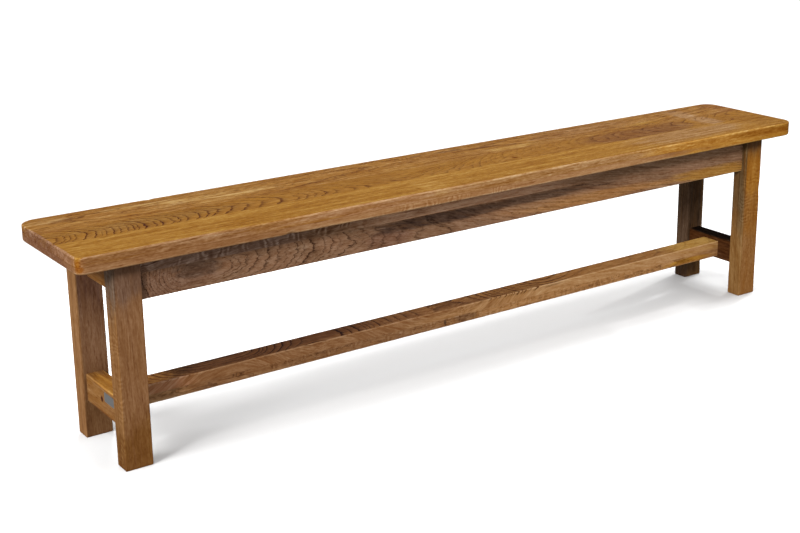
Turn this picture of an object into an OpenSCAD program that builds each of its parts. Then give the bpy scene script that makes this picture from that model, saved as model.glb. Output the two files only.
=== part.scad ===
// Farmhouse bench in solid oak, glued up from boards and joined with mortises and tenons.
// X runs along the bench, -Y is the front, +Z is up. The origin is on the floor at the middle.

/* [Seat] */
// Length of the seat
seat_l = 1910; // [1200:10:2400]
// Width of the seat, front to back
seat_w = 300; // [280:5:400]
// Height of the seat's top above the floor
seat_h = 450; // [400:5:520]
// Thickness of the upper layer of boards
upper_t = 18; // [14:1:24]
// Thickness of the lower layer of boards
lower_t = 15; // [15:1:24]
// Width of the front boards
front_board_w = 105; // [80:1:125]
// Width of the back boards; the middle boards take what is left
back_board_w = 114; // [90:1:130]
// Radius of the seat's corners, seen from above
corner_r = 35; // [20:1:60]
// Radius of the seat's front left corner, which is rounded less than the others
tight_corner_r = 18; // [12:1:19]
// Rounding of the seat's top edge
top_arris_r = 3; // [1:0.5:6]
// Rounding of the seat's lower edge
low_arris_r = 4; // [1:0.5:6]

/* [Legs] */
// Size of a leg along the bench
leg_w = 57; // [52:1:75]
// Size of a leg from front to back
leg_d = 38; // [34:1:50]
// Thickness of the leg's outer stave; the inner stave takes the rest of the depth
outer_stave_t = 18; // [14:1:20]
// How far the seat passes the legs at each end
end_overhang = 78.5; // [40:0.5:120]
// How far the seat passes the legs at the front and at the back
side_overhang = 35.5; // [20:0.5:45]
// Rounding of a leg's long edges
leg_arris_r = 1.5; // [0.5:0.5:3]

/* [Rails] */
// Thickness of all four rails under the seat
rail_t = 20; // [18:1:24]
// Height of the two long rails
long_rail_h = 85.5; // [75:0.5:110]
// Height of a long rail's upper stave
upper_stave_h = 33; // [28:1:45]
// How far a long rail's face lies behind the outer faces of the legs
long_rail_set = 12.5; // [8:0.5:14]
// Height of the two end rails
end_rail_h = 80; // [70:0.5:100]
// How far an end rail's face lies behind the outer faces of the legs
end_rail_set = 27.5; // [18:0.5:28]
// Rounding of the lower edges of the rails
rail_arris_r = 1.5; // [0.5:0.5:3]

/* [Stretchers] */
// Height of an end stretcher
end_stretcher_h = 58.5; // [50:0.5:70]
// Thickness of an end stretcher
end_stretcher_t = 37.5; // [34:0.5:42]
// Height of the end stretchers above the floor
end_stretcher_z = 78; // [60:1:110]
// How far an end stretcher's face lies behind the outer faces of the legs
end_stretcher_set = 9; // [5:0.5:12]
// Width of the centre stretcher
centre_w = 51.5; // [44:0.5:60]
// Height of the centre stretcher's upper stave
centre_upper_h = 21; // [18:0.5:24]
// Height of the centre stretcher's lower stave
centre_lower_h = 19.5; // [18:0.5:22]
// How far the centre stretcher's middle lies below that of the end stretchers
centre_drop = 2.5; // [0:0.5:6]
// Rounding of the long edges of the stretchers
stretcher_arris_r = 2; // [0.5:0.5:3]

/* [Tenons] */
// Thickness of the rail tenons
rail_tenon_t = 7; // [6:0.5:8]
// Shoulder above the rail tenons
rail_tenon_top = 15; // [10:1:20]
// Shoulder below the rail tenons
rail_tenon_low = 8; // [5:1:12]
// Length of an end stretcher's tenon
end_tenon_l = 26; // [20:1:29]
// Thickness of an end stretcher's tenon
end_tenon_t = 13; // [10:1:16]
// Shoulders above and below an end stretcher's tenon
end_tenon_shoulder = 8; // [5:1:12]
// Length of the centre stretcher's tenon
centre_tenon_l = 24; // [18:1:28]
// Height of the centre stretcher's tenon
centre_tenon_h = 14; // [10:1:18]
// Shoulders at the two sides of the centre stretcher's tenon
centre_tenon_shoulder = 9; // [6:1:12]
// Room for glue around a tenon
glue_gap = 0.15; // [0.1:0.05:0.3]
// Room past the end of a tenon
end_gap = 1; // [0.5:0.5:2]

/* [Seat buttons] */
// Width of a button, along its rail
button_w = 30; // [24:1:40]
// Length of a button's block, without its tongue
button_l = 34; // [30:1:45]
// Height of a button
button_h = 16; // [14:1:18]
// Length of a button's tongue
tongue_l = 9; // [7:0.5:10]
// Thickness of a button's tongue
tongue_t = 6; // [4:0.5:7]
// Gap that lets the seat move between a button and its rail
button_gap = 1; // [0.5:0.25:1.5]
// Room that the slot leaves beside, below and behind the tongue
slot_play = 1; // [0.5:0.25:2]
// Length of a button's screw
screw_l = 28; // [24:1:29]
// Diameter of a screw's shank
screw_d = 4; // [3:0.5:5]
// Diameter of a screw's head
screw_head_d = 8; // [7:0.5:9]

/* [Plate] */
// Length of the bare metal plate on the left end stretcher
plate_l = 50; // [30:1:60]
// Height of the plate
plate_h = 20; // [14:1:26]
// Thickness of the plate
plate_t = 0.8; // [0.5:0.1:1.5]
// Radius of the plate's corners
plate_r = 3; // [1:0.5:5]
// Distance from the front leg to the plate
plate_y = 14.5; // [8:0.5:30]
// Distance from the plate to the top of the stretcher
plate_z = 8; // [5:1:14]

/* [Hidden] */
$fn = 64;
// Overrun of every cut and window past the piece that it cuts
over = 2;
// Gap between a tongue and the wall of its slot that it pulls against
draw_gap = 0.2;
// Gap between a screw and the wood around it
screw_gap = 0.1;
// Height of a screw's countersunk head
screw_head_h = 4;
// Length of a screw's point
screw_tip_l = 6;
// Places of the buttons along a long rail, as shares of half its length
button_shares = [-0.6, 0, 0.6];

seat_under = seat_h - upper_t - lower_t;
seat_seam = seat_h - upper_t;
seam_front_y = front_board_w - seat_w / 2;
seam_back_y = seat_w / 2 - back_board_w;

leg_out_x = seat_l / 2 - end_overhang;
leg_out_y = seat_w / 2 - side_overhang;
leg_in_x = leg_out_x - leg_w;
leg_in_y = leg_out_y - leg_d;

long_rail_y = leg_out_y - long_rail_set - rail_t / 2;
end_rail_x = leg_out_x - end_rail_set - rail_t / 2;
rail_tenon_z1 = seat_under - rail_tenon_top;
rail_tenon_z0 = seat_under - min(long_rail_h, end_rail_h) + rail_tenon_low;

end_stretcher_x = leg_out_x - end_stretcher_set - end_stretcher_t / 2;
end_stretcher_in_x = end_stretcher_x - end_stretcher_t / 2;
centre_h = centre_upper_h + centre_lower_h;
centre_mid_z = end_stretcher_z + end_stretcher_h / 2 - centre_drop;
centre_z = centre_mid_z - centre_h / 2;

slot_z1 = seat_under - button_h + tongue_t + draw_gap;
slot_z0 = slot_z1 - tongue_t - slot_play;
slot_d = tongue_l - button_gap + slot_play;

SEAT = "peru";
SEAT_LIGHT = "goldenrod";
UNDER = "sienna";
LEG = "chocolate";
LEG_DARK = "saddlebrown";
RAIL = "sienna";
METAL = "lightgray";

// Section of a bar, centred, with its lower and its upper corners rounded by their own radii
module eased_section(w, h, low_r, top_r) {
    for (end = [[-1, low_r], [1, top_r]]) {
        side = end[0];
        r = end[1];
        if (r > 0) {
            translate([0, side * (h / 2 - r) / 2]) square([w, h / 2 - r], center = true);
            translate([0, side * h / 4]) square([w - 2 * r, h / 2], center = true);
            for (x = [-1, 1]) translate([x * (w / 2 - r), side * (h / 2 - r)]) circle(r);
        } else {
            translate([0, side * h / 4]) square([w, h / 2], center = true);
        }
    }
}

// Bar along X, centred on the origin
module bar_x(l, w, h, low_r, top_r) {
    rotate([90, 0, 90]) linear_extrude(l, center = true) eased_section(w, h, low_r, top_r);
}

// Bar along Y, centred on the origin
module bar_y(l, w, h, low_r, top_r) {
    rotate([90, 0, 0]) linear_extrude(l, center = true) eased_section(w, h, low_r, top_r);
}

// Block between two corners
module block(low, high) {
    translate(low) cube(high - low);
}

// One side of a seat layer's section: rounded at its outer top, or at its outer foot
module edge_section(l, t, r, round_top) {
    round_z = round_top ? t - r : r;
    square([l - r, t]);
    translate([0, round_top ? 0 : r]) square([l, t - r]);
    translate([l - r, round_z]) circle(r);
}

// A whole layer of the seat with its rounded corners, standing on z = 0
module seat_layer(t, r, round_top) {
    straight_l = seat_l - 2 * corner_r;
    straight_w = seat_w - 2 * corner_r;
    rotate([90, 0, 90]) linear_extrude(straight_l, center = true) {
        edge_section(seat_w / 2, t, r, round_top);
        mirror([1, 0]) edge_section(seat_w / 2, t, r, round_top);
    }
    for (side = [0, 1]) mirror([side, 0, 0]) {
        translate([straight_l / 2, 0, 0]) rotate([90, 0, 0]) linear_extrude(straight_w, center = true)
            edge_section(corner_r, t, r, round_top);
        translate([straight_l / 2, straight_w / 2, 0]) rotate_extrude(angle = 90)
            edge_section(corner_r, t, r, round_top);
    }
    translate([straight_l / 2, -straight_w / 2, 0]) rotate([0, 0, -90]) rotate_extrude(angle = 90)
        edge_section(corner_r, t, r, round_top);
    translate([-straight_l / 2, -straight_w / 2, 0]) tight_corner(t, r, round_top);
}

// The front left corner of a seat layer, drawn about the middle that a corner like the others would have
module tight_corner(t, r, round_top) {
    extra = corner_r - tight_corner_r;
    translate([-extra / 2, 0, 0]) rotate([90, 0, -90]) linear_extrude(extra, center = true)
        edge_section(corner_r, t, r, round_top);
    translate([0, -extra / 2, 0]) rotate([90, 0, 180]) linear_extrude(extra, center = true)
        edge_section(corner_r, t, r, round_top);
    translate([-extra, -extra, 0]) rotate([0, 0, 180]) rotate_extrude(angle = 90)
        edge_section(tight_corner_r, t, r, round_top);
}

// The stretch of a layer between two seams
module board_window(y0, y1) {
    block([-seat_l, y0, -over], [seat_l, y1, seat_h + over]);
}

module seat_board(y0, y1, tint) {
    color(tint) intersection() {
        translate([0, 0, seat_seam]) seat_layer(upper_t, top_arris_r, true);
        board_window(y0, y1);
    }
}

module under_board(y0, y1) {
    color(UNDER) difference() {
        intersection() {
            translate([0, 0, seat_under]) seat_layer(lower_t, low_arris_r, false);
            board_window(y0, y1);
        }
        all_screws(screw_gap);
    }
}

// Mortises of one leg, the front right one: two that meet for the rails, one for the stretcher
module leg_mortises() {
    half_t = rail_tenon_t / 2 + glue_gap;
    z0 = rail_tenon_z0 - glue_gap;
    z1 = rail_tenon_z1 + glue_gap;
    block([leg_in_x - over, -long_rail_y - half_t, z0],
          [end_rail_x + rail_tenon_t / 2 + end_gap, -long_rail_y + half_t, z1]);
    block([end_rail_x - half_t, -long_rail_y - rail_tenon_t / 2 - end_gap, z0],
          [end_rail_x + half_t, -leg_in_y + over, z1]);
    block([end_stretcher_x - end_tenon_t / 2 - glue_gap, -leg_in_y - end_tenon_l - end_gap,
           end_stretcher_z + end_tenon_shoulder - glue_gap],
          [end_stretcher_x + end_tenon_t / 2 + glue_gap, -leg_in_y + over,
           end_stretcher_z + end_stretcher_h - end_tenon_shoulder + glue_gap]);
}

// A leg is glued up from two staves before its mortises are cut across the glue line
module leg_stave(right, back, outer) {
    seam_y = -leg_out_y + outer_stave_t;
    y0 = outer ? -leg_out_y - over : seam_y;
    y1 = outer ? seam_y : -leg_in_y + over;
    color(outer ? LEG : LEG_DARK) mirror([right ? 0 : 1, 0, 0]) mirror([0, back ? 1 : 0, 0])
        difference() {
            intersection() {
                translate([leg_out_x - leg_w / 2, -leg_out_y + leg_d / 2, 0])
                    linear_extrude(seat_under) eased_section(leg_w, leg_d, leg_arris_r, leg_arris_r);
                block([leg_in_x - over, y0, -over], [leg_out_x + over, y1, seat_h]);
            }
            leg_mortises();
        }
}

// Tenon of the front rail at its right end, mitred where it meets the end rail's tenon
module long_rail_tenon() {
    t = rail_tenon_t / 2;
    tip = end_rail_x - glue_gap;
    translate([0, 0, rail_tenon_z0]) linear_extrude(rail_tenon_z1 - rail_tenon_z0)
        polygon([[leg_in_x - over, -long_rail_y - t], [tip + t, -long_rail_y - t],
                 [tip - t, -long_rail_y + t], [leg_in_x - over, -long_rail_y + t]]);
}

// Tenon of the right end rail at its front end
module end_rail_tenon() {
    t = rail_tenon_t / 2;
    tip = -long_rail_y + glue_gap;
    translate([0, 0, rail_tenon_z0]) linear_extrude(rail_tenon_z1 - rail_tenon_z0)
        polygon([[end_rail_x - t, -leg_in_y + over], [end_rail_x - t, tip + t],
                 [end_rail_x + t, tip - t], [end_rail_x + t, -leg_in_y + over]]);
}

// Slot in the inner face of a rail for the tongue of a button, the rail's inner face at y = 0
module button_slot() {
    half_w = button_w / 2 + slot_play;
    block([-half_w, -slot_d, slot_z0], [half_w, over, slot_z1]);
}

// The front rail with both tenons and its button slots, before it is split into its two staves
module long_rail() {
    difference() {
        union() {
            translate([0, -long_rail_y, seat_under - long_rail_h / 2])
                bar_x(2 * leg_in_x, rail_t, long_rail_h, rail_arris_r, 0);
            long_rail_tenon();
            mirror([1, 0, 0]) long_rail_tenon();
        }
        for (share = button_shares)
            translate([share * leg_in_x, -long_rail_y + rail_t / 2, 0]) button_slot();
    }
}

module long_rail_stave(back, upper) {
    seam_z = seat_under - upper_stave_h;
    z0 = upper ? seam_z : 0;
    z1 = upper ? seat_under + over : seam_z;
    color(RAIL) mirror([0, back ? 1 : 0, 0]) intersection() {
        long_rail();
        block([-seat_l, -seat_w, z0], [seat_l, 0, z1]);
    }
}

module end_rail(right) {
    color(RAIL) mirror([right ? 0 : 1, 0, 0]) difference() {
        union() {
            translate([end_rail_x, 0, seat_under - end_rail_h / 2])
                bar_y(2 * leg_in_y, rail_t, end_rail_h, rail_arris_r, 0);
            end_rail_tenon();
            mirror([0, 1, 0]) end_rail_tenon();
        }
        translate([end_rail_x - rail_t / 2, 0, 0]) rotate([0, 0, 90]) button_slot();
    }
}

module end_stretcher(right) {
    mid_z = end_stretcher_z + end_stretcher_h / 2;
    tenon_span = 2 * (leg_in_y + end_tenon_l);
    mortise_w = centre_w - 2 * centre_tenon_shoulder + 2 * glue_gap;
    mortise_h = centre_tenon_h + 2 * glue_gap;
    color(LEG) mirror([right ? 0 : 1, 0, 0]) difference() {
        translate([end_stretcher_x, 0, mid_z]) {
            bar_y(2 * leg_in_y, end_stretcher_t, end_stretcher_h, stretcher_arris_r, stretcher_arris_r);
            cube([end_tenon_t, tenon_span, end_stretcher_h - 2 * end_tenon_shoulder], center = true);
        }
        block([end_stretcher_in_x - over, -mortise_w / 2, centre_mid_z - mortise_h / 2],
              [end_stretcher_in_x + centre_tenon_l + end_gap, mortise_w / 2, centre_mid_z + mortise_h / 2]);
    }
}

module centre_stretcher_stave(upper) {
    seam_z = centre_z + centre_lower_h;
    z0 = upper ? seam_z : 0;
    z1 = upper ? seat_h : seam_z;
    tenon_span = 2 * (end_stretcher_in_x + centre_tenon_l);
    color(upper ? LEG : RAIL) intersection() {
        translate([0, 0, centre_mid_z]) {
            bar_x(2 * end_stretcher_in_x, centre_w, centre_h, stretcher_arris_r, stretcher_arris_r);
            cube([tenon_span, centre_w - 2 * centre_tenon_shoulder, centre_tenon_h], center = true);
        }
        block([-seat_l, -seat_w, z0], [seat_l, seat_w, z1]);
    }
}

// Countersunk screw, its head at z = 0 and its point up, made thicker by a gap for its hole
module screw_shape(gap) {
    shank_r = screw_d / 2 + gap;
    head_r = screw_head_d / 2 + gap;
    rotate_extrude() polygon([[0, 0], [head_r, 0], [shank_r, screw_head_h], [shank_r, screw_l - screw_tip_l],
                              [gap, screw_l], [0, screw_l]]);
}

// Puts a button or a screw, drawn for a rail whose inner face is y = 0, at its place
module at_long_rail(share, back) {
    mirror([0, back ? 1 : 0, 0])
        translate([share * leg_in_x, -long_rail_y + rail_t / 2, 0]) children();
}

module at_end_rail(right) {
    mirror([right ? 0 : 1, 0, 0]) translate([end_rail_x - rail_t / 2, 0, 0]) rotate([0, 0, 90]) children();
}

module button_screw(gap) {
    translate([0, button_gap + button_l / 2, seat_under - button_h]) screw_shape(gap);
}

module all_screws(gap) {
    for (share = button_shares) {
        at_long_rail(share, false) button_screw(gap);
        at_long_rail(share, true) button_screw(gap);
    }
    at_end_rail(false) button_screw(gap);
    at_end_rail(true) button_screw(gap);
}

// Hardwood block under the seat whose tongue hooks into the slot of its rail
module seat_button() {
    half_w = button_w / 2;
    z0 = seat_under - button_h;
    difference() {
        union() {
            block([-half_w, button_gap, z0], [half_w, button_gap + button_l, seat_under]);
            block([-half_w, button_gap - tongue_l, z0], [half_w, button_gap + over, z0 + tongue_t]);
        }
        button_screw(screw_gap);
    }
}

module long_rail_button(place, back) {
    color(UNDER) at_long_rail(button_shares[place], back) seat_button();
}

module end_rail_button(right) {
    color(UNDER) at_end_rail(right) seat_button();
}

module button_screws() {
    color(METAL) all_screws(0);
}

module metal_plate() {
    mid_y = -leg_in_y + plate_y + plate_l / 2;
    mid_z = end_stretcher_z + end_stretcher_h - plate_z - plate_h / 2;
    color(METAL) translate([-end_stretcher_x - end_stretcher_t / 2, mid_y, mid_z]) rotate([90, 0, -90])
        linear_extrude(plate_t) eased_section(plate_l, plate_h, plate_r, plate_r);
}

seat_board(-seat_w, seam_front_y, SEAT_LIGHT);  // seat_front_board
seat_board(seam_front_y, seam_back_y, SEAT);  // seat_middle_board
seat_board(seam_back_y, seat_w, SEAT);  // seat_back_board
under_board(-seat_w, seam_front_y);  // under_front_board
under_board(seam_front_y, seam_back_y);  // under_middle_board
under_board(seam_back_y, seat_w);  // under_back_board
leg_stave(false, false, true);  // front_left_leg_outer_stave
leg_stave(false, false, false);  // front_left_leg_inner_stave
leg_stave(true, false, true);  // front_right_leg_outer_stave
leg_stave(true, false, false);  // front_right_leg_inner_stave
leg_stave(false, true, true);  // back_left_leg_outer_stave
leg_stave(false, true, false);  // back_left_leg_inner_stave
leg_stave(true, true, true);  // back_right_leg_outer_stave
leg_stave(true, true, false);  // back_right_leg_inner_stave
long_rail_stave(false, true);  // front_rail_upper_stave
long_rail_stave(false, false);  // front_rail_lower_stave
long_rail_stave(true, true);  // back_rail_upper_stave
long_rail_stave(true, false);  // back_rail_lower_stave
end_rail(false);  // left_end_rail
end_rail(true);  // right_end_rail
end_stretcher(false);  // left_end_stretcher
end_stretcher(true);  // right_end_stretcher
centre_stretcher_stave(true);  // centre_stretcher_upper_stave
centre_stretcher_stave(false);  // centre_stretcher_lower_stave
long_rail_button(0, false);  // front_left_button
long_rail_button(1, false);  // front_middle_button
long_rail_button(2, false);  // front_right_button
long_rail_button(0, true);  // back_left_button
long_rail_button(1, true);  // back_middle_button
long_rail_button(2, true);  // back_right_button
end_rail_button(false);  // left_end_button
end_rail_button(true);  // right_end_button
button_screws();
metal_plate();
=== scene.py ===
import math
from functools import partial

import bmesh
import bpy
import numpy as np
from mathutils import Matrix, Vector, noise


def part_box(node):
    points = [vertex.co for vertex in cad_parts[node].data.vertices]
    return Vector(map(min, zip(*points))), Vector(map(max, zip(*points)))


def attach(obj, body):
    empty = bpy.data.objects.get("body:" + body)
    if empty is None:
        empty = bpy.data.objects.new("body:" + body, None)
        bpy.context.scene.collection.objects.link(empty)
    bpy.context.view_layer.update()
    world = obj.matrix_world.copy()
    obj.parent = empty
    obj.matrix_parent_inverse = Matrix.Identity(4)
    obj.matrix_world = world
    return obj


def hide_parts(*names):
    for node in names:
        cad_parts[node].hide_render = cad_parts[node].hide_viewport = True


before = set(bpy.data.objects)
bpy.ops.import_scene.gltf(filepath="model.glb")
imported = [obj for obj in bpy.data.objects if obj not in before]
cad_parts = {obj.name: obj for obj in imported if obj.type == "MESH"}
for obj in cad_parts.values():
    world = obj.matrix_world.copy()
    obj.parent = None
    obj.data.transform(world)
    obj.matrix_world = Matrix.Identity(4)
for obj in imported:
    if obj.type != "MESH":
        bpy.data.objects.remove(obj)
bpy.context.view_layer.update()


# ---- View -------------------------------------------------------------------------------
# The bench is seen from its front left, from a little above the seat, with a long lens.
# The shift of the lens and the slight roll are those of the photograph's frame.
camera_lens = bpy.data.cameras.new("camera")
camera_lens.lens, camera_lens.sensor_width = 63.2, 36.0
camera_lens.shift_x, camera_lens.shift_y = -0.0548, -0.0598
camera = bpy.data.objects.new("camera", camera_lens)
to_right, to_back = Vector((0.80662, -0.59105, -0.00457)), Vector((-0.56697, -0.77591, 0.27659))
turned = Matrix((to_right, to_back.cross(to_right), to_back)).transposed().to_quaternion()
camera.matrix_world = Matrix.LocRotScale(Vector((-1.8255, -2.443, 1.2025)), turned, None)
bpy.context.scene.collection.objects.link(camera)
bpy.context.scene.camera = camera


# ---- Seat, upper layer ------------------------------------------------------------------
# Three long boards of flat-sawn oak, planed, glued edge to edge and sanded flush, then oiled.
# The top edge is rounded over all the way round and painted paler, partly as wear and partly as a painted
# highlight. The back board is bruised.
SEAT_HALF = (0.955, 0.15)
SEAT_CORNER = 0.035
TIGHT_CORNER = 0.018
SEAT_TOP = 0.450
SEAT_ARRIS, SEAT_WEAR = 0.003, 0.12
LONG_STEP = 0.014  # between the cuts across a long piece, for the wear to follow


def linear(hex_colour):
    """sRGB hex colour as linear RGBA."""
    parts = [int(hex_colour[i:i + 2], 16) / 255 for i in (1, 3, 5)]
    return tuple(c / 12.92 if c <= 0.04045 else ((c + 0.055) / 1.055) ** 2.4 for c in parts) + (1.0,)


def add(tree, kind, inputs=(), out=0, **settings):
    """Adds a node with its settings, values and links, and gives one of its outputs."""
    made = tree.nodes.new(kind)
    for name, value in settings.items():
        setattr(made, name, value)
    for name, value in inputs.items() if isinstance(inputs, dict) else enumerate(inputs):
        if isinstance(value, bpy.types.NodeSocket):
            tree.links.new(value, made.inputs[name])
        elif value is not None:
            made.inputs[name].default_value = value
    return made.outputs[out] if len(made.outputs) else made


def new_group(name, kind, inputs, outputs):
    """A node group with its sockets only: the tree, and the outputs of its input node."""
    tree = bpy.data.node_groups.new(name, kind)
    for side, sockets in (("INPUT", inputs), ("OUTPUT", outputs)):
        for socket, sort, *value in sockets:
            made = tree.interface.new_socket(socket, in_out=side, socket_type="NodeSocket" + sort)
            if value:
                made.default_value = value[0]
    return tree, tree.nodes.new("NodeGroupInput").outputs


def build_oak_grain():
    """What grows in an oak log, from a place in mm about its heart.

    The pores are drawn 2 mm wide, seven times coarser than real ones, or they wouldn't show.
    """
    tree, given = new_group("oak_grain", "ShaderNodeTree", (
        ("Place", "Vector", (0, 0, 0)), ("Seed", "Vector", (0, 0, 0)), ("Ring width", "Float", 2.6),
        ("Bend", "Float", 6.0), ("Jag", "Float", 2.0), ("Swell", "Float", 0.0)),
        [(name, "Float") for name in ("Rings", "Pores", "Rays", "Streaks", "Flecks", "Blotches", "Speckle")])
    put = partial(add, tree)
    seeded = put("ShaderNodeVectorMath", (given["Place"], given["Seed"]), operation="ADD")
    flat = put("ShaderNodeVectorMath", (given["Place"], (0, 1, 1)), operation="MULTIPLY")
    radius = put("ShaderNodeVectorMath", (flat,), out="Value", operation="LENGTH")
    apart = put("ShaderNodeSeparateXYZ", (given["Place"],)).node.outputs
    turn = put("ShaderNodeMath", (apart["Z"], apart["Y"]), operation="ARCTAN2")
    turn = put("ShaderNodeMath", (turn, 90.0), operation="MULTIPLY")
    round_log = put("ShaderNodeCombineXYZ", (apart["X"], turn, radius))
    waves = {}
    # Cells measure 1 / scale in mm: along, across and through the log.
    for name, source, scale, detail, rough in (
            ("broad", seeded, (0.0045, 0.03, 0.03), 1.0, 0.5), ("small", seeded, (0.03, 0.1, 0.1), 2.0, 0.6),
            ("pores", seeded, (0.035, 0.45, 0.45), 2.0, 0.6), ("rays", round_log, (0.07, 0.7, 0.05), 1.0, 0.5),
            ("streaks", seeded, (0.004, 0.1, 0.1), 5.0, 0.7), ("flecks", seeded, (0.03, 0.17, 0.17), 3.0, 0.85),
            ("blotches", seeded, (0.01, 0.032, 0.032), 3.0, 0.6), ("speckle", seeded, (0.12, 0.3, 0.3), 1.0, 0.5)):
        placed = put("ShaderNodeVectorMath", (source, scale), operation="MULTIPLY")
        placed = put("ShaderNodeTexNoise", {"Vector": placed, "Scale": 1.0, "Detail": detail, "Roughness": rough})
        waves[name] = put("ShaderNodeMath", (placed, 0.5), operation="SUBTRACT")
    bend = put("ShaderNodeMath", (waves["small"], 0.5, waves["broad"]), operation="MULTIPLY_ADD")
    bent = put("ShaderNodeMath", (bend, given["Bend"], radius), operation="MULTIPLY_ADD")
    bent = put("ShaderNodeMath", (waves["flecks"], given["Jag"], bent), operation="MULTIPLY_ADD")
    bent = put("ShaderNodeMath", (bent, given["Swell"]), operation="ADD")
    count = put("ShaderNodeMath", (bent, given["Ring width"]), operation="DIVIDE")
    uneven = put("ShaderNodeMath", (count, 0.23), operation="MULTIPLY")
    uneven = put("ShaderNodeTexNoise", {"W": uneven, "Scale": 1.0, "Detail": 1.0}, noise_dimensions="1D")
    count = put("ShaderNodeMath", (uneven, 2.6, count), operation="MULTIPLY_ADD")
    phase = put("ShaderNodeMath", (count,), operation="FRACT")
    ring = put("ShaderNodeValToRGB", (phase,))
    points = ring.node.color_ramp.elements
    points[0].color, points[1].color = (0.7, 0.7, 0.7, 1), (0.1, 0.1, 0.1, 1)
    for position, value in ((0.05, 1.0), (0.12, 0.85), (0.2, 0.4), (0.4, 0.14), (0.94, 0.0)):
        points.new(position).color = (value, value, value, 1)
    year = put("ShaderNodeMath", (count,), operation="FLOOR")
    year = put("ShaderNodeTexWhiteNoise", {"W": year}, out="Value", noise_dimensions="1D")
    year = put("ShaderNodeMath", (year, 0.6, 0.4), operation="MULTIPLY_ADD")
    rings = put("ShaderNodeMath", (ring, year), operation="MULTIPLY")
    pores = put("ShaderNodeMapRange", {"Value": waves["pores"], "From Min": 0.06, "From Max": 0.16})
    porous = put("ShaderNodeMath", (rings, 0.6, 0.4), operation="MULTIPLY_ADD")
    pores = put("ShaderNodeMath", (pores, porous), operation="MULTIPLY")
    rays = put("ShaderNodeMapRange", {"Value": waves["rays"], "From Min": 0.1, "From Max": 0.25})
    grown = {name.capitalize(): waves[name] for name in ("streaks", "flecks", "blotches", "speckle")}
    put("NodeGroupOutput", {"Rings": rings, "Pores": pores, "Rays": rays, **grown})
    return tree


def build_ragged_patch():
    """A rounded patch about a centre, its border made ragged: 1 inside and 0 outside."""
    tree, given = new_group("ragged_patch", "ShaderNodeTree", (
        ("Place", "Vector", (0, 0, 0)), ("Centre", "Vector", (0, 0, 0)), ("Reach", "Vector", (1, 1, 1)),
        ("Ragged", "Float", 0.5), ("Full", "Float", 0.5)), [("Mask", "Float")])
    put = partial(add, tree)
    off = put("ShaderNodeVectorMath", (given["Place"], given["Centre"]), operation="SUBTRACT")
    off = put("ShaderNodeVectorMath", (off, given["Reach"]), operation="DIVIDE")
    far = put("ShaderNodeVectorMath", (off,), out="Value", operation="LENGTH")
    torn = put("ShaderNodeVectorMath", (given["Centre"], (7, 13, 19), off), operation="MULTIPLY_ADD")
    torn = put("ShaderNodeTexNoise", {"Vector": torn, "Scale": 2.3, "Detail": 3.0})
    torn = put("ShaderNodeMath", (torn, 0.5), operation="SUBTRACT")
    far = put("ShaderNodeMath", (torn, given["Ragged"], far), operation="MULTIPLY_ADD")
    mask = {"Value": far, "From Min": given["Full"], "From Max": 1.0, "To Min": 1.0, "To Max": 0.0}
    put("NodeGroupOutput", (put("ShaderNodeMapRange", mask, interpolation_type="SMOOTHSTEP"),))
    return tree


oak_grain, ragged_patch = build_oak_grain(), build_ragged_patch()


def new_material(name):
    """A material with its principled shader, and what adds nodes to it."""
    material = bpy.data.materials.new(name)
    material.use_nodes = True
    return material, partial(add, material.node_tree)


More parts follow.
